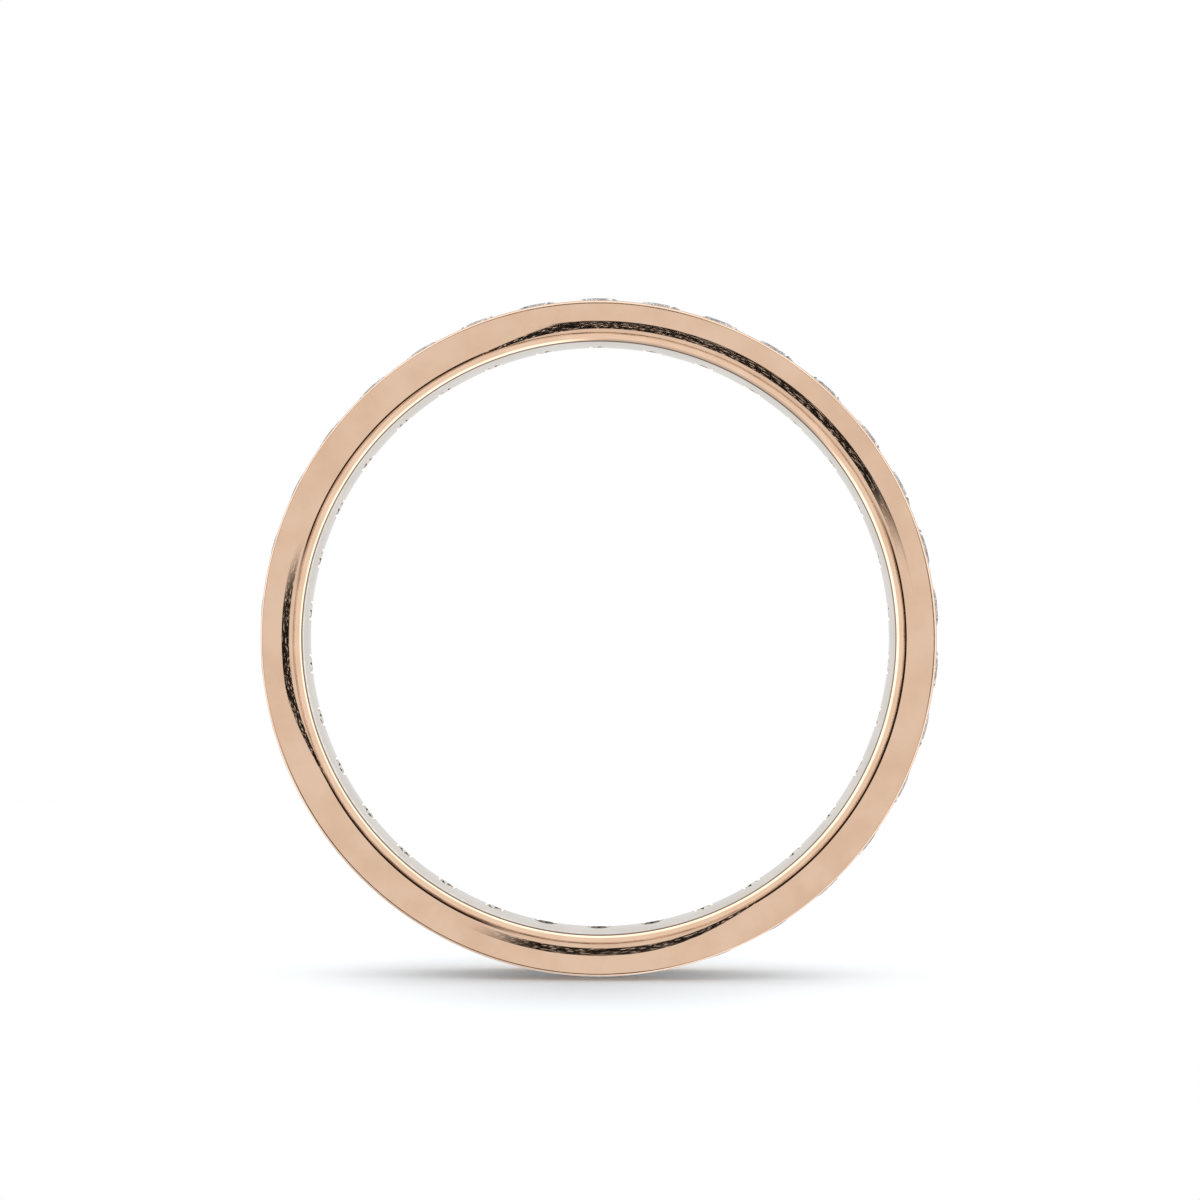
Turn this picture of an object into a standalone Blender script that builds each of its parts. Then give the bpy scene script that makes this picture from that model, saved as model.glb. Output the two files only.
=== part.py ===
"""Channel-set eternity wedding band in two golds.

Two rose-gold rails run round the ring, one at each side. Between them lies a white-gold
centre band with a conical seat for every stone and a round hole below each seat, and the
rails' grooves hold a full circle of round brilliant-cut diamonds by their girdles.

The ring is modelled about its own axis, local Z, with the front rail at +Z and the twelve
o'clock stone at +Y. The empty ring_frame stands it upright, so that in the world the ring's
axis is Y, the front rail faces -Y and the twelve o'clock stone is at the top, at +Z.
The origin is the centre of the ring. All lengths are in metres.
"""

import math

import bmesh
import bpy

MM = 0.001

# Driving dimensions of the ring
FINGER_HOLE_R = 8.65 * MM
BAND_WIDTH = 2.8 * MM
TABLE_R = 10.10 * MM
STONE_COUNT = 34
STONE_D = 1.75 * MM
FIT_GAP = 0.015 * MM

# Side rails
HALF_WIDTH = BAND_WIDTH / 2
SIDE_FACE_INNER_R = 9.43 * MM
SIDE_FACE_OUTER_R = 9.89 * MM
RAIL_CREST_R = 10.00 * MM
RAIL_ROUND_DEPTH = 0.28 * MM
LIP_HALF_GAP = 0.835 * MM
LIP_EDGE = 0.035 * MM
COMFORT_POWER = 1.9
INNER_CURVE_STEPS = 6
OUTER_CURVE_STEPS = 4
RING_SEGMENTS = 2 * STONE_COUNT

# Round brilliant cut, as shares of the girdle's diameter
CROWN_SHARE = 0.16
GIRDLE_SHARE = 0.03
PAVILION_SHARE = 0.43
TABLE_SHARE = 0.57
STAR_LENGTH = 0.5
LOWER_HALF_TIP = 0.22
MAIN_FACETS = 8

STONE_R = STONE_D / 2
CROWN_H = CROWN_SHARE * STONE_D
GIRDLE_H = GIRDLE_SHARE * STONE_D
PAVILION_H = PAVILION_SHARE * STONE_D
GIRDLE_TOP_R = TABLE_R - CROWN_H
GIRDLE_FOOT_R = GIRDLE_TOP_R - GIRDLE_H
CULET_R = GIRDLE_FOOT_R - PAVILION_H

# Groove in each rail, cut round the girdles
GROOVE_CLEARANCE = 0.02 * MM
GROOVE_HALF_GAP = STONE_R + GROOVE_CLEARANCE
GROOVE_LIP_RISE = 0.055 * MM

# Centre band and the seats drilled in it
CENTRE_HALF_WIDTH = LIP_HALF_GAP - FIT_GAP
CHANNEL_FLOOR_R = 9.54 * MM
CENTRE_CURVE_STEPS = 8
SEAT_SLOPE = STONE_R / PAVILION_H
SEAT_APEX_R = CULET_R - 0.027 * MM
AZURE_R = 0.29 * MM
AZURE_FLARE = 0.06 * MM
AZURE_FLARE_R = 8.74 * MM
SEAT_TOP_R = CHANNEL_FLOOR_R + 0.20 * MM
DRILL_START_R = FINGER_HOLE_R - 0.30 * MM
DRILL_SIDES = 12

SHARP_ANGLE = math.radians(32)


def remove_scene_objects():
    for old in list(bpy.data.objects):
        bpy.data.objects.remove(old, do_unlink=True)


def new_collection(name):
    made = bpy.data.collections.new(name)
    bpy.context.scene.collection.children.link(made)
    return made


def plain_material(name, colour, roughness, metallic):
    material = bpy.data.materials.new(name)
    material.use_nodes = True
    shader = material.node_tree.nodes["Principled BSDF"]
    shader.inputs["Base Color"].default_value = (*colour, 1.0)
    shader.inputs["Roughness"].default_value = roughness
    shader.inputs["Metallic"].default_value = metallic
    return material


def rose_gold(name):
    return plain_material(name, (0.78, 0.52, 0.38), 0.10, 1.0)


def white_gold(name):
    return plain_material(name, (0.76, 0.74, 0.71), 0.14, 1.0)


def diamond(name):
    material = plain_material(name, (0.95, 0.97, 1.0), 0.02, 0.0)
    shader = material.node_tree.nodes["Principled BSDF"]
    shader.inputs["IOR"].default_value = 2.42
    return material


def inner_radius(height):
    """Radius of the comfort-fit finger hole at a height along the ring's axis."""
    share = (1 - abs(height / HALF_WIDTH) ** COMFORT_POWER) ** (1 / COMFORT_POWER)
    return SIDE_FACE_INNER_R - (SIDE_FACE_INNER_R - FINGER_HOLE_R) * share


def rounded_outer_edge():
    """Points from the flat side face over the rounded shoulder to the rail's crest."""
    points = []
    for step in range(OUTER_CURVE_STEPS + 1):
        turn = step / OUTER_CURVE_STEPS * math.pi / 2
        radius = SIDE_FACE_OUTER_R + (RAIL_CREST_R - SIDE_FACE_OUTER_R) * math.sin(turn)
        height = HALF_WIDTH - RAIL_ROUND_DEPTH * (1 - math.cos(turn))
        points.append((radius, height))
    return points


def groove():
    """Points down the rail's wall through the groove that grips the girdles."""
    lip_top = GIRDLE_TOP_R + GROOVE_LIP_RISE
    lip_foot = GIRDLE_FOOT_R - GROOVE_LIP_RISE
    return [
        (RAIL_CREST_R, LIP_HALF_GAP + LIP_EDGE),
        (RAIL_CREST_R - LIP_EDGE, LIP_HALF_GAP),
        (lip_top, LIP_HALF_GAP),
        (GIRDLE_TOP_R + GROOVE_CLEARANCE, GROOVE_HALF_GAP),
        (GIRDLE_FOOT_R - GROOVE_CLEARANCE, GROOVE_HALF_GAP),
        (lip_foot, LIP_HALF_GAP),
    ]


def comfort_edge():
    """Points from the rail's inner foot round the comfort-fit edge to its flat side face."""
    foot_turn = math.acos((LIP_HALF_GAP / HALF_WIDTH) ** (COMFORT_POWER / 2))
    points = []
    for step in range(INNER_CURVE_STEPS + 1):
        turn = foot_turn * (1 - step / INNER_CURVE_STEPS)
        height = HALF_WIDTH * math.cos(turn) ** (2 / COMFORT_POWER)
        points.append((inner_radius(height), height))
    return points


def rail_profile():
    """The front rail's section, down its outer side and back up its inner side."""
    return rounded_outer_edge() + groove() + comfort_edge()


def centre_profile():
    """The centre band's section: flat channel floor, straight walls, comfort-fit inside."""
    points = [
        (CHANNEL_FLOOR_R, CENTRE_HALF_WIDTH),
        (CHANNEL_FLOOR_R, -CENTRE_HALF_WIDTH),
    ]
    for step in range(CENTRE_CURVE_STEPS + 1):
        height = CENTRE_HALF_WIDTH * (2 * step / CENTRE_CURVE_STEPS - 1)
        points.append((inner_radius(height), height))
    return points


def seat_profile():
    """Half section of one drilled seat along a stone's own axis, from the top down."""
    azure_top_r = SEAT_APEX_R + AZURE_R / SEAT_SLOPE
    return [
        (0.0, SEAT_TOP_R),
        ((SEAT_TOP_R - SEAT_APEX_R) * SEAT_SLOPE, SEAT_TOP_R),
        (AZURE_R, azure_top_r),
        (AZURE_R, AZURE_FLARE_R),
        (AZURE_R + AZURE_FLARE, FINGER_HOLE_R),
        (AZURE_R + AZURE_FLARE, DRILL_START_R),
        (0.0, DRILL_START_R),
    ]


def turned(name, profile, closed, segments, collection):
    """A profile in the XZ plane, turned once round Z."""
    mesh = bpy.data.meshes.new(name)
    edges = [(i, i + 1) for i in range(len(profile) - 1)]
    if closed:
        edges.append((len(profile) - 1, 0))
    mesh.from_pydata([(x, 0.0, z) for x, z in profile], edges, [])
    made = bpy.data.objects.new(name, mesh)
    collection.objects.link(made)
    screw = made.modifiers.new("turn", "SCREW")
    screw.axis = "Z"
    screw.steps = segments
    screw.render_steps = segments
    screw.use_merge_vertices = True
    screw.merge_threshold = 0.00001 * MM
    return made


def frozen(made, collection):
    """The evaluated mesh of a modelled object, as a plain mesh object of the same name."""
    bpy.context.view_layer.update()
    evaluated = made.evaluated_get(bpy.context.evaluated_depsgraph_get())
    mesh = bpy.data.meshes.new_from_object(evaluated)
    name = made.name
    bpy.data.objects.remove(made, do_unlink=True)
    mesh.name = name
    result = bpy.data.objects.new(name, mesh)
    collection.objects.link(result)
    return result


def shade(made):
    made.data.shade_smooth()
    made.data.set_sharp_from_angle(angle=SHARP_ANGLE)


def on_ring(made, ring_frame):
    made.parent = ring_frame
    return made


def make_rail(name, ring_frame, parts, front):
    rail = frozen(turned(name, rail_profile(), True, RING_SEGMENTS, parts), parts)
    if not front:
        rail.rotation_euler = (math.pi, 0.0, 0.0)
    rail.data.materials.append(rose_gold(name + "_rose_gold"))
    shade(rail)
    return on_ring(rail, ring_frame)


def clock_angle(index):
    """Clockwise angle from twelve o'clock of a stone, seen from the front."""
    return index * 2 * math.pi / STONE_COUNT


def make_drill(name, index, ring_frame, cutters):
    """The tool that cuts one stone's seat and azure, turned to point at the ring's axis."""
    drill = frozen(turned(name, seat_profile(), False, DRILL_SIDES, cutters), cutters)
    drill.rotation_euler = (-math.pi / 2, 0.0, -clock_angle(index))
    drill.hide_render = True
    drill.display_type = "WIRE"
    return on_ring(drill, ring_frame)


def join_drills(drills, cutters):
    """All the seats' cutters as one object, so that the band is cut once."""
    bpy.context.view_layer.update()
    joined = bmesh.new()
    for drill in drills:
        piece = drill.data.copy()
        piece.transform(drill.matrix_world)
        joined.from_mesh(piece)
        bpy.data.meshes.remove(piece)
        bpy.data.objects.remove(drill, do_unlink=True)
    mesh = bpy.data.meshes.new("seat_cutter")
    joined.to_mesh(mesh)
    joined.free()
    cutter = bpy.data.objects.new("seat_cutter", mesh)
    cutter.hide_render = True
    cutter.display_type = "WIRE"
    cutters.objects.link(cutter)
    return cutter


def make_centre_band(ring_frame, parts, cutters):
    band = frozen(
        turned("centre_band", centre_profile(), True, RING_SEGMENTS, parts), parts
    )
    on_ring(band, ring_frame)
    drills = []
    for index in range(STONE_COUNT):
        drills.append(make_drill(f"drill_{index + 1:02d}", index, ring_frame, cutters))
    cut = band.modifiers.new("seats", "BOOLEAN")
    cut.operation = "DIFFERENCE"
    cut.solver = "EXACT"
    cut.object = join_drills(drills, cutters)
    band.data.materials.append(white_gold("centre_band_white_gold"))
    shade(band)
    return band


def facet_points(count, radius, height, offset=0.0):
    """Corners spread evenly round a stone's axis; offset is in steps of the spacing."""
    points = []
    for corner in range(count):
        turn = (corner + offset) * 2 * math.pi / count
        points.append((radius * math.cos(turn), radius * math.sin(turn), height))
    return points


def brilliant_corners():
    """Facet corners of a round brilliant, with the girdle's upper edge at height zero."""
    half_step = math.cos(math.pi / MAIN_FACETS)
    table_r = TABLE_SHARE * STONE_R
    star_r = table_r * half_step + STAR_LENGTH * (STONE_R - table_r * half_step)
    star_h = CROWN_H * (STONE_R - star_r * half_step) / (STONE_R - table_r)
    tip_r = LOWER_HALF_TIP * STONE_R
    tip_h = -GIRDLE_H - PAVILION_H * (1 - tip_r * half_step / STONE_R)
    corners = facet_points(MAIN_FACETS, table_r, CROWN_H)
    corners += facet_points(MAIN_FACETS, star_r, star_h, 0.5)
    corners += facet_points(2 * MAIN_FACETS, STONE_R, 0.0)
    corners += facet_points(2 * MAIN_FACETS, STONE_R, -GIRDLE_H)
    corners += facet_points(MAIN_FACETS, tip_r, tip_h, 0.5)
    corners.append((0.0, 0.0, -GIRDLE_H - PAVILION_H))
    return corners


def brilliant_mesh():
    """The convex body on those corners, with each facet as one flat face."""
    stone = bmesh.new()
    corners = [stone.verts.new(corner) for corner in brilliant_corners()]
    bmesh.ops.convex_hull(stone, input=corners)
    bmesh.ops.dissolve_limit(
        stone,
        angle_limit=math.radians(0.2),
        verts=stone.verts[:],
        edges=stone.edges[:],
    )
    bmesh.ops.recalc_face_normals(stone, faces=stone.faces[:])
    mesh = bpy.data.meshes.new("round_brilliant")
    stone.to_mesh(mesh)
    stone.free()
    return mesh


def make_stones(ring_frame, parts):
    """Every diamond of the channel, table outward and culet towards the ring's axis."""
    for index in range(STONE_COUNT):
        name = f"stone_{index + 1:02d}"
        mesh = brilliant_mesh()
        mesh.name = name
        mesh.materials.append(diamond(name + "_diamond"))
        stone = bpy.data.objects.new(name, mesh)
        parts.objects.link(stone)
        angle = clock_angle(index)
        stone.location = (
            GIRDLE_TOP_R * math.sin(angle),
            GIRDLE_TOP_R * math.cos(angle),
            0.0,
        )
        stone.rotation_euler = (-math.pi / 2, 0.0, -angle)
        on_ring(stone, ring_frame)


def build_wedding_band():
    remove_scene_objects()
    parts = new_collection("wedding_band")
    cutters = new_collection("wedding_band_cutters")
    ring_frame = bpy.data.objects.new("ring_frame", None)
    ring_frame.rotation_euler = (math.pi / 2, 0.0, 0.0)
    parts.objects.link(ring_frame)
    make_rail("rail_front", ring_frame, parts, front=True)
    make_rail("rail_back", ring_frame, parts, front=False)
    make_centre_band(ring_frame, parts, cutters)
    make_stones(ring_frame, parts)


build_wedding_band()
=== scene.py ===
"""Looks of the channel-set wedding band: polished rose gold, white gold and round brilliants.

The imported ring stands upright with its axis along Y, its front side face towards -Y and the
first stone at the top. Every piece is built here about the ring's own axis and then stood up
with the rotation UPRIGHT. Lengths are in metres.
"""

import math
import random

import bmesh
import bpy
from mathutils import Euler, Matrix, Vector


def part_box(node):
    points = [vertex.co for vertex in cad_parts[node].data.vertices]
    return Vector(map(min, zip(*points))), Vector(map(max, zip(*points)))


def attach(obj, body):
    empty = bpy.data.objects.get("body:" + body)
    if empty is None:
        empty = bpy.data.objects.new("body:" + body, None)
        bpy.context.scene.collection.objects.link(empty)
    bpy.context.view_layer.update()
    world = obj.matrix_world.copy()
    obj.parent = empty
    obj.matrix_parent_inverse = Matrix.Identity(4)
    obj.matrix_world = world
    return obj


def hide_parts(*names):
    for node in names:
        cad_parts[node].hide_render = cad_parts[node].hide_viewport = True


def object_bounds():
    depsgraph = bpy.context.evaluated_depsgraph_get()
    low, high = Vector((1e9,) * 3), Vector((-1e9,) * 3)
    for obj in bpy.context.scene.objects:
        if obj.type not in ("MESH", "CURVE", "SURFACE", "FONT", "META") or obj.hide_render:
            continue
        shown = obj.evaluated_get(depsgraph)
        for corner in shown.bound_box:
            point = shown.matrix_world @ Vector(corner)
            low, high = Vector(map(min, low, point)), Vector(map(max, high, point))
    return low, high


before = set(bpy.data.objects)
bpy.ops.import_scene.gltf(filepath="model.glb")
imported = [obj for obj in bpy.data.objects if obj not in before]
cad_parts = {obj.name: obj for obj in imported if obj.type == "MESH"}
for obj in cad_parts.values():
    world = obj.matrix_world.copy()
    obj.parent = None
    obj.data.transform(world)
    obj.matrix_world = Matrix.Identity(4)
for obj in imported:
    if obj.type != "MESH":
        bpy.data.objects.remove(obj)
cad_low, cad_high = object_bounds()

MM = 0.001
UPRIGHT = Matrix.Rotation(math.pi / 2, 4, "X")

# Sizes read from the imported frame
rail_low, rail_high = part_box("rail_front")
centre_low, centre_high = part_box("centre_band")
stone_low, stone_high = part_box("stone_01")

STONE_COUNT = sum(name.startswith("stone_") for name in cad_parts)
HALF_WIDTH = -rail_low[1]
LIP_HALF_GAP = -rail_high[1]
RAIL_CREST_R = rail_high[2]
CENTRE_HALF_WIDTH = centre_high[1]
CHANNEL_FLOOR_R = centre_high[2]
STONE_R = stone_high[1]
TABLE_R = stone_high[2]
CULET_R = stone_low[2]

# Sizes of the section that no box gives
FINGER_HOLE_R = 8.65 * MM
SIDE_FACE_INNER_R = 9.43 * MM
SIDE_FACE_OUTER_R = 9.89 * MM
RAIL_ROUND_DEPTH = 0.28 * MM
LIP_EDGE = 0.035 * MM
FLAT_HOLD = 0.006 * MM
SEAM_EDGE = 0.014 * MM
COMFORT_POWER = 1.9
GROOVE_CLEARANCE = 0.02 * MM
GROOVE_LIP_RISE = 0.055 * MM
AZURE_R = 0.29 * MM
AZURE_FLARE = 0.06 * MM
AZURE_FLARE_DEPTH = 0.09 * MM
SEAT_APEX_DROP = 0.027 * MM

# Round brilliant cut
MAIN_FACETS = 8
GIRDLE_SIDES = 96
CROWN_SHARE = 0.16 / 0.62
PAVILION_SHARE = 0.43 / 0.62
TABLE_SHARE = 0.57
STAR_LENGTH = 0.5
LOWER_HALF_TIP = 0.22

STONE_H = TABLE_R - CULET_R
CROWN_H = CROWN_SHARE * STONE_H
PAVILION_H = PAVILION_SHARE * STONE_H
GIRDLE_H = STONE_H - CROWN_H - PAVILION_H
GIRDLE_TOP_R = TABLE_R - CROWN_H
GIRDLE_FOOT_R = GIRDLE_TOP_R - GIRDLE_H

# Painted shade along the seam between the golds, in millimetres off the middle plane
SEAM_LOW = 0.78
SEAM_HIGH = 0.87

# Drilled seats: how far their cutter overshoots the band, and the easing at its corners
SEAT_TOP_OVERSHOOT = 0.2 * MM
SEAT_MOUTH_OVERSHOOT = 0.3 * MM
NECK_EASE = 0.03 * MM
NECK_DROP = 0.02 * MM
MOUTH_FLARE = 1.6 * AZURE_FLARE
MOUTH_DEPTH = 0.04 * MM

# Fineness of the turned pieces
STEPS_PER_STONE = 12
RING_SEGMENTS = STEPS_PER_STONE * STONE_COUNT
SHOULDER_STEPS = 20
LIP_STEPS = 6
SEAM_STEPS = 3
RAIL_COMFORT_STEPS = 36
CENTRE_COMFORT_STEPS = 22
SEAT_SIDES = 40
SHARP_ANGLE = math.radians(30)
MERGE_GAP = 0.0005 * MM
SCREW_MERGE = 0.00001 * MM

# Colours; each gold has a deep and a light tone
ROSE_TONES = ((0.70, 0.478, 0.335), (0.755, 0.535, 0.39))
WHITE_TONES = ((0.80, 0.75, 0.695), (0.86, 0.81, 0.75))
# Painted shade colour for the seam between the golds
SEAM_PAINTED_SHADE = (0.15, 0.10, 0.07, 1.0)
# Painted shade colour for the walls of the azures
AZURE_PAINTED_SHADE = (0.12, 0.11, 0.10, 1.0)
DIAMOND_TONES = ((0.955, 0.97, 1.0, 1.0), (1.0, 1.0, 1.0, 1.0))
DIAMOND_IOR = 2.42
FLOOR_COLOUR = (0.90, 0.93, 0.955, 1.0)
WHITE = (1.0, 1.0, 1.0, 1.0)

# Floor, soft box and flag
FLOOR_SIDES = 70 * MM
FLOOR_FRONT = -16 * MM
FLOOR_BACK = 60 * MM
LAMP_SIZE = 240 * MM
LAMP_HEIGHT = 100 * MM
LAMP_POWER = 0.16
FLAG_HEIGHT = 3.4 * MM
FLAG_RADII = (4.5, 5.3)
FLAG_CENTRE = (-0.35, -0.8)
FLAG_SIDES = 48

# Light tent: degrees away from its axis, and clock angles round it seen from the front
TENT_AXIS = Vector((1.0, -101.4, -1.6)).normalized()
TENT_LEVEL = 1.02
FILL_LEVEL = 0.65
THIN_GAP = (80.5, 91.0)
GAP_DARKNESS = 0.985
# Of each wide gap: whether its clock angles count from the bottom, then where it starts, is
# full, narrows and ends, and how far it reaches in towards the axis
WIDE_GAPS = (
    (False, 160.0, 183.0, 238.0, 255.0, 69.0),
    (True, 146.0, 168.0, 190.0, 204.0, 62.0),
    (False, 63.0, 88.0, 100.0, 113.0, 62.0),
)
WIDE_GAP_CUT = 22.0
GLOW_BAND = (118.0, 131.0)
GLOW_LEVEL = 1.9
GLOW_BREAK = (178.0, 232.0)
FRONT_EDGE = (84.0, 90.0)
FRONT_LEVEL = 0.22
BEYOND_BAND = (90.0, 119.0)
BEYOND_LEVEL = 0.38

# Camera
CAMERA_PLACE = (3.2 * MM, -HALF_WIDTH - 100 * MM, 3.6 * MM)
CAMERA_AIM = (0.031 * MM, 0.0, 1.13 * MM)
CAMERA_SENSOR = 36.0
CAMERA_LENS = 101.85


# ---------------------------------------------------------------- shapes


def arc_points(centre, radii, start, end, steps):
    """Points along an ellipse's arc, in the section's (radius, height) plane."""
    points = []
    for step in range(steps + 1):
        turn = math.radians(start + (end - start) * step / steps)
        radius = centre[0] + radii[0] * math.cos(turn)
        height = centre[1] + radii[1] * math.sin(turn)
        points.append((radius, height))
    return points


def seam_edge(radius, height, start, end):
    """A finely rounded edge next to a seam."""
    return arc_points((radius, height), (SEAM_EDGE, SEAM_EDGE), start, end, SEAM_STEPS)


def inner_radius(height):
    """Radius of the comfort-fit finger hole at a height along the ring's axis."""
    share = (1 - abs(height / HALF_WIDTH) ** COMFORT_POWER) ** (1 / COMFORT_POWER)
    return SIDE_FACE_INNER_R - (SIDE_FACE_INNER_R - FINGER_HOLE_R) * share


def comfort_curve(low, steps):
    """The comfort-fit curve from a height up to the side face, closest together at its turn."""
    low_turn = math.acos((low / HALF_WIDTH) ** (COMFORT_POWER / 2))
    points = []
    for step in range(steps + 1):
        turn = low_turn * (1 - step / steps)
        height = HALF_WIDTH * math.cos(turn) ** (2 / COMFORT_POWER)
        points.append((inner_radius(height), height))
    return points


def rail_section():
    """The front rail's section, down its outer side and back up its inner side."""
    shoulder = arc_points(
        (SIDE_FACE_OUTER_R, HALF_WIDTH - RAIL_ROUND_DEPTH),
        (RAIL_CREST_R - SIDE_FACE_OUTER_R, RAIL_ROUND_DEPTH),
        90,
        0,
        SHOULDER_STEPS,
    )
    lip = arc_points(
        (RAIL_CREST_R - LIP_EDGE, LIP_HALF_GAP + LIP_EDGE),
        (LIP_EDGE, LIP_EDGE),
        0,
        -90,
        LIP_STEPS,
    )
    girdle_gap = STONE_R + GROOVE_CLEARANCE
    groove = [
        (GIRDLE_TOP_R + GROOVE_LIP_RISE, LIP_HALF_GAP),
        (GIRDLE_TOP_R + GROOVE_CLEARANCE, girdle_gap),
        (GIRDLE_FOOT_R - GROOVE_CLEARANCE, girdle_gap),
        (GIRDLE_FOOT_R - GROOVE_LIP_RISE, LIP_HALF_GAP),
    ]
    foot_h = LIP_HALF_GAP + SEAM_EDGE
    foot_r = inner_radius(foot_h)
    foot = seam_edge(foot_r + SEAM_EDGE, foot_h, -90, -150)
    flat = [
        (SIDE_FACE_INNER_R + FLAT_HOLD, HALF_WIDTH),
        (SIDE_FACE_OUTER_R - FLAT_HOLD, HALF_WIDTH),
    ]
    return shoulder + lip + groove + foot + comfort_curve(foot_h, RAIL_COMFORT_STEPS) + flat


def centre_section():
    """The centre band's section: channel floor, straight walls and comfort-fit inside."""
    edge_h = CENTRE_HALF_WIDTH - SEAM_EDGE
    edge_r = inner_radius(edge_h) + SEAM_EDGE
    points = seam_edge(CHANNEL_FLOOR_R - SEAM_EDGE, edge_h, 90, 0)
    points += seam_edge(CHANNEL_FLOOR_R - SEAM_EDGE, -edge_h, 0, -90)
    points += seam_edge(edge_r, -edge_h, -90, -150)
    for step in range(CENTRE_COMFORT_STEPS + 1):
        height = edge_h * (2 * step / CENTRE_COMFORT_STEPS - 1)
        points.append((inner_radius(height), height))
    points += seam_edge(edge_r, edge_h, 150, 90)
    return points


def turned_mesh(name, section, closed, segments):
    """The section, which runs down its outer side, turned once round Z as a mesh."""
    mesh = bpy.data.meshes.new(name)
    edges = [(i, i + 1) for i in range(len(section) - 1)]
    if closed:
        edges.append((len(section) - 1, 0))
    mesh.from_pydata([(radius, 0.0, height) for radius, height in section], edges, [])
    turning = bpy.data.objects.new(name, mesh)
    bpy.context.scene.collection.objects.link(turning)
    screw = turning.modifiers.new("turn", "SCREW")
    screw.axis = "Z"
    screw.steps = segments
    screw.render_steps = segments
    screw.use_merge_vertices = True
    screw.merge_threshold = SCREW_MERGE
    bpy.context.view_layer.update()
    evaluated = turning.evaluated_get(bpy.context.evaluated_depsgraph_get())
    result = bpy.data.meshes.new_from_object(evaluated)
    result.name = name
    bpy.data.objects.remove(turning, do_unlink=True)
    return result


def add_piece(name, mesh, matrix, node, material):
    """One visible piece that stands for a CAD node; the flag shapes the shadow in its place."""
    piece = bpy.data.objects.new(name, mesh)
    bpy.context.scene.collection.objects.link(piece)
    mesh.transform(matrix)
    mesh.materials.clear()
    mesh.materials.append(material)
    mesh.shade_smooth()
    mesh.set_sharp_from_angle(angle=SHARP_ANGLE)
    piece.visible_shadow = False
    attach(piece, "root")
    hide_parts(node)
    return piece


def seat_section():
    """Half section of one drilled seat along a stone's own axis, from the top down."""
    slope = STONE_R / PAVILION_H
    apex_r = CULET_R - SEAT_APEX_DROP
    top_r = CHANNEL_FLOOR_R + SEAT_TOP_OVERSHOOT
    mouth_r = FINGER_HOLE_R - SEAT_MOUTH_OVERSHOOT
    neck_r = apex_r + AZURE_R / slope
    flare_r = FINGER_HOLE_R + AZURE_FLARE_DEPTH
    return [
        (0.0, top_r),
        ((top_r - apex_r) * slope, top_r),
        (AZURE_R + NECK_EASE, neck_r + NECK_EASE / slope),
        (AZURE_R, neck_r - NECK_DROP),
        (AZURE_R, flare_r),
        (AZURE_R + AZURE_FLARE * 0.35, flare_r - AZURE_FLARE_DEPTH * 0.6),
        (AZURE_R + AZURE_FLARE, FINGER_HOLE_R),
        (AZURE_R + MOUTH_FLARE, FINGER_HOLE_R - MOUTH_DEPTH),
        (AZURE_R + MOUTH_FLARE, mouth_r),
        (0.0, mouth_r),
    ]


def clock_matrix(index):
    """Turns a stone's own axis, Z, outward at its place round the ring, clockwise from +Y."""
    angle = index * 2 * math.pi / STONE_COUNT
    return Euler((-math.pi / 2, 0.0, -angle)).to_matrix().to_4x4()


def remove_slivers(mesh):
    """Merges away the faces without area that a Boolean leaves."""
    clean = bmesh.new()
    clean.from_mesh(mesh)
    bmesh.ops.remove_doubles(clean, verts=clean.verts[:], dist=MERGE_GAP)
    bmesh.ops.dissolve_degenerate(clean, edges=clean.edges[:], dist=MERGE_GAP)
    bmesh.ops.triangulate(clean, faces=clean.faces[:])
    clean.to_mesh(mesh)
    clean.free()


def drilled_centre_mesh():
    """The centre band with every seat and azure cut through it."""
    band = bpy.data.objects.new(
        "centre_blank", turned_mesh("centre_blank", centre_section(), True, RING_SEGMENTS)
    )
    bpy.context.scene.collection.objects.link(band)
    seat = turned_mesh("seat", seat_section(), False, SEAT_SIDES)
    joined = bmesh.new()
    for index in range(STONE_COUNT):
        copy = seat.copy()
        copy.transform(clock_matrix(index))
        joined.from_mesh(copy)
        bpy.data.meshes.remove(copy)
    cutter_mesh = bpy.data.meshes.new("seats")
    joined.to_mesh(cutter_mesh)
    joined.free()
    bpy.data.meshes.remove(seat)
    cutter = bpy.data.objects.new("seats", cutter_mesh)
    bpy.context.scene.collection.objects.link(cutter)
    cut = band.modifiers.new("seats", "BOOLEAN")
    cut.operation = "DIFFERENCE"
    cut.solver = "EXACT"
    cut.object = cutter
    bpy.context.view_layer.update()
    evaluated = band.evaluated_get(bpy.context.evaluated_depsgraph_get())
    result = bpy.data.meshes.new_from_object(evaluated)
    bpy.data.objects.remove(band, do_unlink=True)
    bpy.data.objects.remove(cutter, do_unlink=True)
    remove_slivers(result)
    return result


def polar(radius, eighths, height):
    """A point round a stone's axis; a main facet's width is one eighth of a turn."""
    turn = eighths * math.pi / 4
    return Vector((radius * math.cos(turn), radius * math.sin(turn), height))


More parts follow.
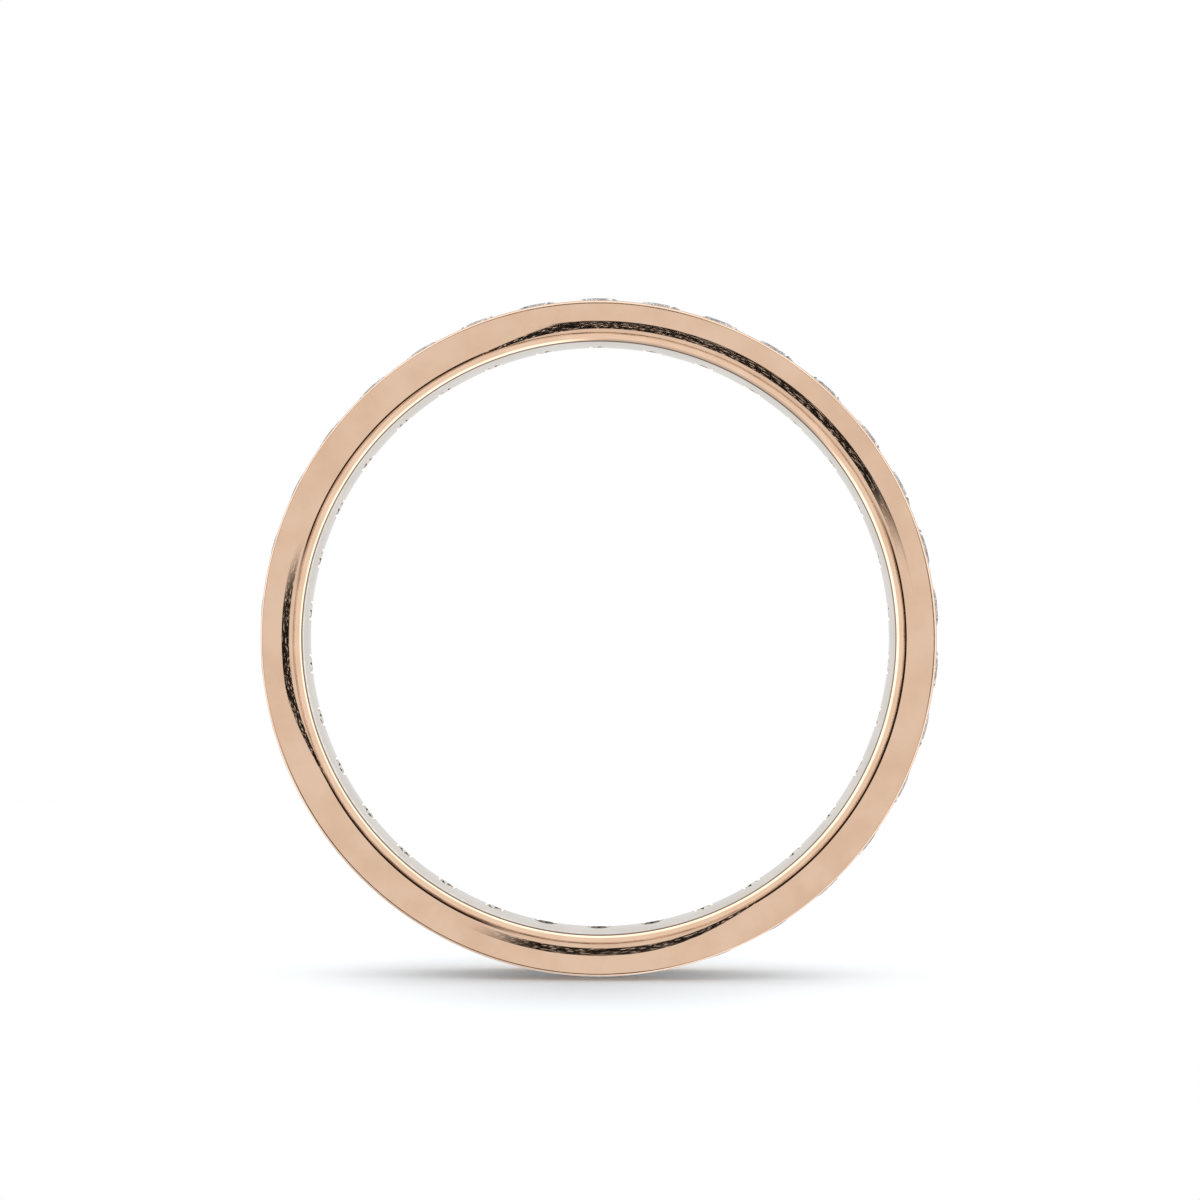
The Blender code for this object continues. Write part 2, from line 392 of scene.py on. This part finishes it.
def facet_planes():
    """Three points on each facet's plane, for one crown and one pavilion."""
    half = math.cos(math.pi / MAIN_FACETS)
    table_r = TABLE_SHARE * STONE_R
    star_r = table_r * half + STAR_LENGTH * (STONE_R - table_r * half)
    star_h = CROWN_H * (STONE_R - star_r * half) / (STONE_R - table_r)
    tip_r = LOWER_HALF_TIP * STONE_R
    tip_h = -GIRDLE_H - PAVILION_H * (1 - tip_r * half / STONE_R)
    culet = Vector((0.0, 0.0, -GIRDLE_H - PAVILION_H))
    planes = []
    for k in range(MAIN_FACETS):
        table_corner = polar(table_r, k, CROWN_H)
        next_corner = polar(table_r, k + 1, CROWN_H)
        star = polar(star_r, k + 0.5, star_h)
        last_star = polar(star_r, k - 0.5, star_h)
        tip = polar(tip_r, k + 0.5, tip_h)
        last_tip = polar(tip_r, k - 0.5, tip_h)
        planes.append((table_corner, last_star, star))
        planes.append((table_corner, next_corner, star))
        planes.append((culet, last_tip, tip))
        for side in (0.0, 0.5):
            upper = [polar(STONE_R, k + side + step, 0.0) for step in (0.0, 0.5)]
            lower = [polar(STONE_R, k + side + step, -GIRDLE_H) for step in (0.0, 0.5)]
            planes.append((star, *upper))
            planes.append((tip, *lower))
    return planes


def brilliant_mesh():
    """A round brilliant cut from a cylinder, one facet at a time; girdle top at height zero."""
    stone = bmesh.new()
    middle = (CROWN_H - GIRDLE_H - PAVILION_H) / 2
    bmesh.ops.create_cone(
        stone,
        cap_ends=True,
        segments=GIRDLE_SIDES,
        radius1=STONE_R,
        radius2=STONE_R,
        depth=STONE_H,
        matrix=Matrix.Translation((0, 0, middle)),
    )
    inside = Vector((0.0, 0.0, -GIRDLE_H))
    for a, b, c in facet_planes():
        normal = (b - a).cross(c - a).normalized()
        if normal.dot(inside - a) > 0:
            normal = -normal
        everything = stone.verts[:] + stone.edges[:] + stone.faces[:]
        cut = bmesh.ops.bisect_plane(
            stone, geom=everything, dist=1e-9, plane_co=a, plane_no=normal, clear_outer=True
        )
        rim = [e for e in cut["geom_cut"] if isinstance(e, bmesh.types.BMEdge)]
        bmesh.ops.edgenet_fill(stone, edges=rim)
    bmesh.ops.recalc_face_normals(stone, faces=stone.faces[:])
    mesh = bpy.data.meshes.new("round_brilliant")
    stone.to_mesh(mesh)
    stone.free()
    return mesh


# ---------------------------------------------------------------- materials


class Nodes:
    """Short calls that add shader nodes to one node tree and link them."""

    def __init__(self, tree):
        self.tree = tree

    def add(self, kind, **settings):
        node = self.tree.nodes.new(kind)
        for name, value in settings.items():
            setattr(node, name, value)
        return node

    def put(self, value, socket):
        if isinstance(value, bpy.types.NodeSocket):
            self.tree.links.new(value, socket)
        else:
            socket.default_value = value

    def math(self, operation, a, b=0.0, clamp=False):
        node = self.add("ShaderNodeMath", operation=operation, use_clamp=clamp)
        self.put(a, node.inputs[0])
        self.put(b, node.inputs[1])
        return node.outputs[0]

    def between(self, value, low, high, to_low=0.0, to_high=1.0):
        """A smooth step from to_low at low to to_high at high."""
        node = self.add("ShaderNodeMapRange", interpolation_type="SMOOTHSTEP")
        for place, number in enumerate((value, low, high, to_low, to_high)):
            self.put(number, node.inputs[place])
        return node.outputs[0]

    def window(self, value, low, high, soft):
        """One inside low..high and zero outside, with soft edges."""
        rise = self.between(value, low - soft, low + soft)
        fall = self.between(value, high - soft, high + soft, 1.0, 0.0)
        return self.math("MULTIPLY", rise, fall)

    def split(self, vector):
        node = self.add("ShaderNodeSeparateXYZ")
        self.put(vector, node.inputs[0])
        return node.outputs

    def join(self, x, y, z):
        node = self.add("ShaderNodeCombineXYZ")
        for place, number in enumerate((x, y, z)):
            self.put(number, node.inputs[place])
        return node.outputs[0]

    def noise(self, vector, scale, detail=2.0, roughness=0.5):
        node = self.add("ShaderNodeTexNoise")
        self.put(vector, node.inputs["Vector"])
        node.inputs["Scale"].default_value = scale
        node.inputs["Detail"].default_value = detail
        node.inputs["Roughness"].default_value = roughness
        return node.outputs["Fac"]

    def mix(self, factor, first, second):
        node = self.add("ShaderNodeMix", data_type="RGBA")
        self.put(factor, node.inputs["Factor"])
        self.put(first, node.inputs[6])
        self.put(second, node.inputs[7])
        return node.outputs[2]

    def bump(self, height, distance, strength):
        node = self.add("ShaderNodeBump")
        node.inputs["Distance"].default_value = distance
        node.inputs["Strength"].default_value = strength
        self.put(height, node.inputs["Height"])
        return node.outputs["Normal"]


def ring_coordinates(nodes):
    """Radius, angle and height of the shaded point about the ring's axis, in millimetres."""
    place = nodes.split(nodes.add("ShaderNodeTexCoord").outputs["Object"])
    across = nodes.math("MULTIPLY", place[0], 1 / MM)
    along = nodes.math("MULTIPLY", place[1], 1 / MM)
    up = nodes.math("MULTIPLY", place[2], 1 / MM)
    squares = nodes.math(
        "ADD", nodes.math("MULTIPLY", across, across), nodes.math("MULTIPLY", up, up)
    )
    radius = nodes.math("SQRT", squares)
    angle = nodes.math("ARCTAN2", across, up)
    return radius, angle, along, (across, along, up)


def seam_painted_shade(nodes, radius, off_middle):
    """How much painted shade darkens the seam between the golds, inside the bore."""
    seam = nodes.window(off_middle, SEAM_LOW, SEAM_HIGH, 0.012)
    return nodes.math("MULTIPLY", seam, nodes.between(radius, 8.95, 9.0, 0.85, 0.0))


def azure_painted_shade(nodes, radius, angle, off_middle, shade_amount):
    """How much painted shade darkens the walls of the azures; the lowest azures get the most."""
    curve = nodes.math("POWER", nodes.math("MULTIPLY", off_middle, MM / HALF_WIDTH), COMFORT_POWER)
    curve = nodes.math("POWER", nodes.math("SUBTRACT", 1.0, curve), 1 / COMFORT_POWER)
    curve = nodes.math("MULTIPLY", curve, (SIDE_FACE_INNER_R - FINGER_HOLE_R) / MM)
    surface = nodes.math("SUBTRACT", SIDE_FACE_INNER_R / MM, curve)
    buried = nodes.between(nodes.math("SUBTRACT", radius, surface), 0.004, 0.03)
    buried = nodes.math("MULTIPLY", buried, nodes.between(radius, 9.1, 9.2, shade_amount, 0.0))
    off_top = nodes.math("ABSOLUTE", angle)
    return nodes.math("MULTIPLY", buried, nodes.between(off_top, 2.84, 2.94, 0.15, 1.0))


def polish_marks(nodes, radius, angle, along, place):
    """Height of the fine polishing lines round the ring, less a few stray scratches."""
    lay = nodes.noise(nodes.join(radius, along, nodes.math("MULTIPLY", angle, 0.35)), 42.0, 2.0)
    stretched = nodes.join(nodes.math("MULTIPLY", place[0], 5.0), place[1], place[2])
    marks = nodes.window(nodes.noise(stretched, 7.0, 1.0), 0.495, 0.505, 0.004)
    return nodes.math("SUBTRACT", lay, nodes.math("MULTIPLY", marks, 0.35))


def polished_gold(name, tones, roughness, lay_strength, azure_shade_amount):
    """Polished gold: cloudy tone, painted shade in its seam and azures, polishing lines and
    scratches.
    """
    material = bpy.data.materials.new(name)
    material.use_nodes = True
    nodes = Nodes(material.node_tree)
    shader = material.node_tree.nodes["Principled BSDF"]
    radius, angle, along, place = ring_coordinates(nodes)
    deep, light = tones
    tone = nodes.between(nodes.noise(nodes.join(*place), 0.9, 3.0), 0.3, 0.7)
    colour = nodes.mix(tone, (*deep, 1.0), (*light, 1.0))
    off_middle = nodes.math("ABSOLUTE", along)
    # Painted shade: the seam between the golds is darkened inside the bore
    colour = nodes.mix(seam_painted_shade(nodes, radius, off_middle), colour, SEAM_PAINTED_SHADE)
    # Painted shade: the azures' walls are darkened, most in the three lowest
    azure_shade = azure_painted_shade(nodes, radius, angle, off_middle, azure_shade_amount)
    nodes.put(nodes.mix(azure_shade, colour, AZURE_PAINTED_SHADE), shader.inputs["Base Color"])
    shader.inputs["Metallic"].default_value = 1.0
    wear = nodes.noise(nodes.join(*place), 6.0, 4.0, 0.6)
    rough = nodes.between(wear, 0.35, 0.75, roughness * 0.7, roughness * 1.5)
    nodes.put(rough, shader.inputs["Roughness"])
    height = polish_marks(nodes, radius, angle, along, place)
    nodes.put(nodes.bump(height, 0.002 * MM, lay_strength), shader.inputs["Normal"])
    return material


def rose_gold():
    return polished_gold("rose_gold", ROSE_TONES, 0.035, 0.05, 0.0)


def white_gold():
    return polished_gold("white_gold", WHITE_TONES, 0.09, 0.12, 0.9)


def diamond():
    """Clear, strongly refracting stone with faint polish marks on its facets."""
    material = bpy.data.materials.new("diamond")
    material.use_nodes = True
    nodes = Nodes(material.node_tree)
    shader = material.node_tree.nodes["Principled BSDF"]
    place = nodes.add("ShaderNodeTexCoord").outputs["Object"]
    haze = nodes.noise(place, 900.0, 3.0)
    nodes.put(nodes.mix(haze, *DIAMOND_TONES), shader.inputs["Base Color"])
    nodes.put(nodes.between(haze, 0.3, 0.8, 0.0, 0.012), shader.inputs["Roughness"])
    shader.inputs["IOR"].default_value = DIAMOND_IOR
    shader.inputs["Transmission Weight"].default_value = 1.0
    return material


# ---------------------------------------------------------------- the ring


def make_rails(material):
    turned_over = Matrix.Rotation(math.pi, 4, "X")
    for name, place in (("rail_front", Matrix()), ("rail_back", turned_over)):
        mesh = turned_mesh(name + "_look", rail_section(), True, RING_SEGMENTS)
        add_piece(name + "_look", mesh, UPRIGHT @ place, name, material)


def make_centre_band(material):
    mesh = drilled_centre_mesh()
    add_piece("centre_band_look", mesh, UPRIGHT, "centre_band", material)


def make_stones(material):
    """The diamonds, each turned about its own axis by chance as a setter leaves them."""
    chance = random.Random(7)
    brilliant = brilliant_mesh()
    for index in range(STONE_COUNT):
        node = f"stone_{index + 1:02d}"
        spin = Matrix.Rotation(chance.uniform(0, math.pi / 4), 4, "Z")
        seated = Matrix.Translation((0, 0, GIRDLE_TOP_R)) @ spin
        matrix = UPRIGHT @ clock_matrix(index) @ seated
        piece = add_piece(
            node + "_look", brilliant.copy(), matrix, node, material
        )
        piece.data.shade_flat()
    bpy.data.meshes.remove(brilliant)


# ---------------------------------------------------------------- studio


def make_floor():
    """A pale table top, slightly cool against the gold's warm light, short in front."""
    mesh = bpy.data.meshes.new("floor")
    floor_z = cad_low[2]
    corners = [
        (-FLOOR_SIDES, FLOOR_FRONT, floor_z),
        (FLOOR_SIDES, FLOOR_FRONT, floor_z),
        (FLOOR_SIDES, FLOOR_BACK, floor_z),
        (-FLOOR_SIDES, FLOOR_BACK, floor_z),
    ]
    mesh.from_pydata(corners, [], [(0, 1, 2, 3)])
    floor = bpy.data.objects.new("floor", mesh)
    bpy.context.scene.collection.objects.link(floor)
    material = bpy.data.materials.new("floor_white")
    material.use_nodes = True
    shader = material.node_tree.nodes["Principled BSDF"]
    shader.inputs["Base Color"].default_value = FLOOR_COLOUR
    shader.inputs["Roughness"].default_value = 0.9
    shader.inputs["Specular IOR Level"].default_value = 0.0
    mesh.materials.append(material)
    floor.visible_glossy = False
    floor.visible_transmission = False


def inside(nodes, value, low, high, soft):
    """One between two limits and zero outside them; the limits may vary with direction."""
    rise = nodes.between(nodes.math("SUBTRACT", value, low), -soft, soft)
    fall = nodes.between(nodes.math("SUBTRACT", value, high), -soft, soft, 1.0, 0.0)
    return nodes.math("MULTIPLY", rise, fall)


def dark_gaps(nodes, degrees, clock):
    """A thin dark gap round the tent that opens into three wide ones, each with some sparkle."""
    opposite = nodes.math("MODULO", nodes.math("ADD", clock, 180.0), 360.0)
    low, high = THIN_GAP
    opened = 0.0
    for from_bottom, start, full, end, gone, reach in WIDE_GAPS:
        turn = opposite if from_bottom else clock
        widening = nodes.between(turn, start, full)
        closing = nodes.between(turn, gone, gone + 2.0, 1.0, 0.0)
        widening = nodes.math("MULTIPLY", widening, closing)
        here = nodes.between(turn, start - 1.0, start + 1.0)
        here = nodes.math("MULTIPLY", here, nodes.between(turn, end, gone, 1.0, 0.0))
        low = nodes.math("SUBTRACT", low, nodes.math("MULTIPLY", widening, reach))
        high = nodes.math("SUBTRACT", high, nodes.math("MULTIPLY", widening, WIDE_GAP_CUT))
        opened = nodes.math("ADD", opened, here)
    slant = nodes.math("MULTIPLY", degrees, 0.13)
    grain = nodes.join(nodes.math("ADD", nodes.math("MULTIPLY", clock, 1.7), slant), slant, 0.0)
    sparkle = nodes.between(nodes.noise(grain, 1.0, 0.0, 0.5), 0.63, 0.70)
    wide = nodes.math("MULTIPLY", inside(nodes, degrees, low, high, 1.5), opened)
    wide = nodes.math("MULTIPLY", wide, nodes.math("SUBTRACT", 1.0, sparkle))
    thin = nodes.window(degrees, *THIN_GAP, 1.0)
    thin = nodes.math("MULTIPLY", thin, nodes.math("SUBTRACT", 1.0, opened))
    return nodes.math("ADD", wide, thin, clamp=True)


def tent_level(nodes, direction):
    """The tent's brightness in a direction: nearly even, with bright bands and dark gaps."""
    x, _, z = nodes.split(direction)
    towards = nodes.add("ShaderNodeVectorMath", operation="DOT_PRODUCT")
    nodes.put(direction, towards.inputs[0])
    nodes.put(TENT_AXIS, towards.inputs[1])
    off_axis = nodes.math("ARCCOSINE", towards.outputs["Value"])
    degrees = nodes.math("MULTIPLY", off_axis, 180 / math.pi)
    clock = nodes.math("MULTIPLY", nodes.math("ARCTAN2", x, z), 180 / math.pi)
    clock = nodes.math("MODULO", nodes.math("ADD", clock, 720.0), 360.0)
    dark = nodes.math("MULTIPLY", dark_gaps(nodes, degrees, clock), GAP_DARKNESS)
    glow = nodes.window(degrees, *GLOW_BAND, 2.5)
    unbroken = nodes.math("SUBTRACT", 1.0, nodes.window(clock, *GLOW_BREAK, 7.0))
    glow = nodes.math("MULTIPLY", glow, unbroken)
    front = nodes.between(degrees, *FRONT_EDGE, FRONT_LEVEL, 0.0)
    beyond = nodes.math("MULTIPLY", nodes.window(degrees, *BEYOND_BAND, 1.5), BEYOND_LEVEL)
    level = nodes.math("ADD", TENT_LEVEL, nodes.math("MULTIPLY", glow, GLOW_LEVEL))
    level = nodes.math("ADD", level, beyond)
    level = nodes.math("ADD", level, front)
    return nodes.math("MULTIPLY", level, nodes.math("SUBTRACT", 1.0, dark))


def make_world():
    """A light tent that polished metal mirrors, an even fill for the floor and a white view."""
    world = bpy.data.worlds.new("light_tent")
    bpy.context.scene.world = world
    world.use_nodes = True
    tree = world.node_tree
    tree.nodes.clear()
    nodes = Nodes(tree)
    level = tent_level(nodes, nodes.add("ShaderNodeTexCoord").outputs["Generated"])
    rays = nodes.add("ShaderNodeLightPath").outputs
    diffuse = rays["Is Diffuse Ray"]
    bright = nodes.math("MULTIPLY", level, nodes.math("SUBTRACT", 1.0, diffuse))
    level = nodes.math("ADD", bright, nodes.math("MULTIPLY", diffuse, FILL_LEVEL))
    tent = nodes.add("ShaderNodeBackground")
    nodes.put(level, tent.inputs["Strength"])
    seen = nodes.add("ShaderNodeBackground")
    seen.inputs["Color"].default_value = WHITE
    mixed = nodes.add("ShaderNodeMixShader")
    nodes.put(rays["Is Camera Ray"], mixed.inputs[0])
    nodes.put(tent.outputs[0], mixed.inputs[1])
    nodes.put(seen.outputs[0], mixed.inputs[2])
    output = nodes.add("ShaderNodeOutputWorld")
    nodes.put(mixed.outputs[0], output.inputs[0])


def make_lamp():
    """A wide round soft box straight above the ring."""
    light = bpy.data.lights.new("soft_box", "AREA")
    light.shape = "DISK"
    light.size = LAMP_SIZE
    light.energy = LAMP_POWER
    lamp = bpy.data.objects.new("soft_box", light)
    bpy.context.scene.collection.objects.link(lamp)
    lamp.location = (0.0, 0.0, cad_low[2] + LAMP_HEIGHT)
    lamp.visible_camera = False
    lamp.visible_glossy = False
    lamp.visible_transmission = False


def make_flag():
    """A small flag by the ring's foot, seen by the soft box alone, which makes the shadow."""
    mesh = bpy.data.meshes.new("shadow_flag")
    height = cad_low[2] + FLAG_HEIGHT
    outline = []
    for step in range(FLAG_SIDES):
        turn = step * 2 * math.pi / FLAG_SIDES
        across = (FLAG_RADII[0] * math.cos(turn) + FLAG_CENTRE[0]) * MM
        along = (FLAG_RADII[1] * math.sin(turn) + FLAG_CENTRE[1]) * MM
        outline.append((across, along, height))
    mesh.from_pydata(outline, [], [tuple(range(FLAG_SIDES))])
    flag = bpy.data.objects.new("shadow_flag", mesh)
    bpy.context.scene.collection.objects.link(flag)
    flag.visible_camera = False
    flag.visible_diffuse = False
    flag.visible_glossy = False
    flag.visible_transmission = False


def make_camera():
    """The view along the ring's axis, from a little right of it and above."""
    camera = bpy.data.objects.new("camera", bpy.data.cameras.new("camera"))
    bpy.context.scene.collection.objects.link(camera)
    camera.data.sensor_width = CAMERA_SENSOR
    camera.data.lens = CAMERA_LENS
    camera.data.clip_start = 5 * MM
    camera.data.clip_end = 10.0
    camera.location = CAMERA_PLACE
    aim = Vector(CAMERA_AIM)
    camera.rotation_euler = (aim - camera.location).to_track_quat("-Z", "Y").to_euler()
    bpy.context.scene.camera = camera


make_rails(rose_gold())
make_centre_band(white_gold())
make_stones(diamond())
make_floor()
make_world()
make_lamp()
make_flag()
make_camera()
bpy.context.scene.view_settings.view_transform = "Standard"
